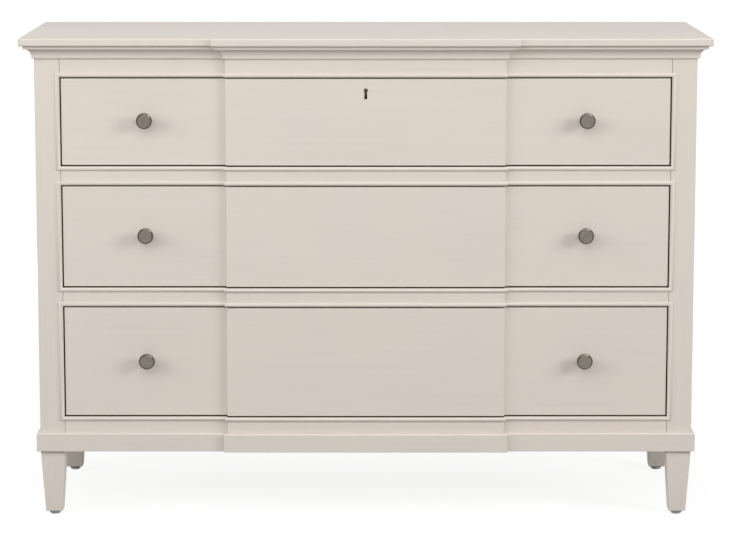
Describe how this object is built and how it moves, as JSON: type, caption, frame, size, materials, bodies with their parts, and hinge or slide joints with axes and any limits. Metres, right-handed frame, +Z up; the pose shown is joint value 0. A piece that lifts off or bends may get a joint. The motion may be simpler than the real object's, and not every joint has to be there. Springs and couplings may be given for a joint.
{
  "type": "breakfront dresser",
  "caption": "Wide painted dresser with a stepped breakfront, graduated full-width inset drawers in bead frames, round metal knobs, a lock in the upper drawer and tapered legs.",
  "frame": {"origin": "on the floor, under the middle of the top's bounding box", "axes": "+X to the right along the width, +Y to the back, +Z up; the drawers open towards -Y"},
  "size_m": [1.372, 0.483, 0.972],
  "materials": {
    "paint": "satin cream lacquer",
    "drawer_wood": "clear sealed",
    "panel_board": "clear sealed plywood",
    "slide_steel": "zinc plated",
    "knob_metal": "aged pewter",
    "lock_metal": "aged satin",
    "glide_nylon": "matte"
  },
  "bodies": {
    "case": {"top_panel": "paint", "cornice_front": "paint", "cornice_left": "paint", "cornice_right": "paint", "top_rail": "paint", "upper_divider_rail": "paint", "lower_divider_rail": "paint", "bottom_rail": "paint", "base_moulding": "paint", "side_panel_left": "paint", "side_panel_right": "paint", "post_front_left": "paint", "glide_front_left": "glide_nylon", "post_front_right": "paint", "glide_front_right": "glide_nylon", "post_rear_left": "paint", "glide_rear_left": "glide_nylon", "post_rear_right": "paint", "glide_rear_right": "glide_nylon", "back_panel": "panel_board", "bottom_panel": "panel_board", "upper_bead_frame": "paint", "upper_case_slide_left": "slide_steel", "upper_case_slide_right": "slide_steel", "middle_bead_frame": "paint", "middle_case_slide_left": "slide_steel", "middle_case_slide_right": "slide_steel", "lower_bead_frame": "paint", "lower_case_slide_left": "slide_steel", "lower_case_slide_right": "slide_steel"},
    "upper_drawer": {"upper_drawer_front": "paint", "upper_drawer_bottom": "panel_board", "upper_drawer_back": "drawer_wood", "upper_drawer_side_left": "drawer_wood", "upper_knob_left": "knob_metal", "upper_drawer_slide_left": "slide_steel", "upper_drawer_side_right": "drawer_wood", "upper_knob_right": "knob_metal", "upper_drawer_slide_right": "slide_steel", "lock_case": "lock_metal"},
    "middle_drawer": {"middle_drawer_front": "paint", "middle_drawer_bottom": "panel_board", "middle_drawer_back": "drawer_wood", "middle_drawer_side_left": "drawer_wood", "middle_knob_left": "knob_metal", "middle_drawer_slide_left": "slide_steel", "middle_drawer_side_right": "drawer_wood", "middle_knob_right": "knob_metal", "middle_drawer_slide_right": "slide_steel"},
    "lower_drawer": {"lower_drawer_front": "paint", "lower_drawer_bottom": "panel_board", "lower_drawer_back": "drawer_wood", "lower_drawer_side_left": "drawer_wood", "lower_knob_left": "knob_metal", "lower_drawer_slide_left": "slide_steel", "lower_drawer_side_right": "drawer_wood", "lower_knob_right": "knob_metal", "lower_drawer_slide_right": "slide_steel"},
    "lock_bolt": {"lock_bolt": "lock_metal"}
  },
  "joints": [
    {"name": "upper_drawer_slide", "type": "slide", "parent": "case", "child": "upper_drawer", "axis": [0, -1, 0], "range_m": [0, 0.28]},
    {"name": "middle_drawer_slide", "type": "slide", "parent": "case", "child": "middle_drawer", "axis": [0, -1, 0], "range_m": [0, 0.28]},
    {"name": "lower_drawer_slide", "type": "slide", "parent": "case", "child": "lower_drawer", "axis": [0, -1, 0], "range_m": [0, 0.28]},
    {"name": "lock_bolt_throw", "type": "slide", "parent": "upper_drawer", "child": "lock_bolt", "axis": [0, 0, 1], "range_m": [0, 0.009]}
  ]
}
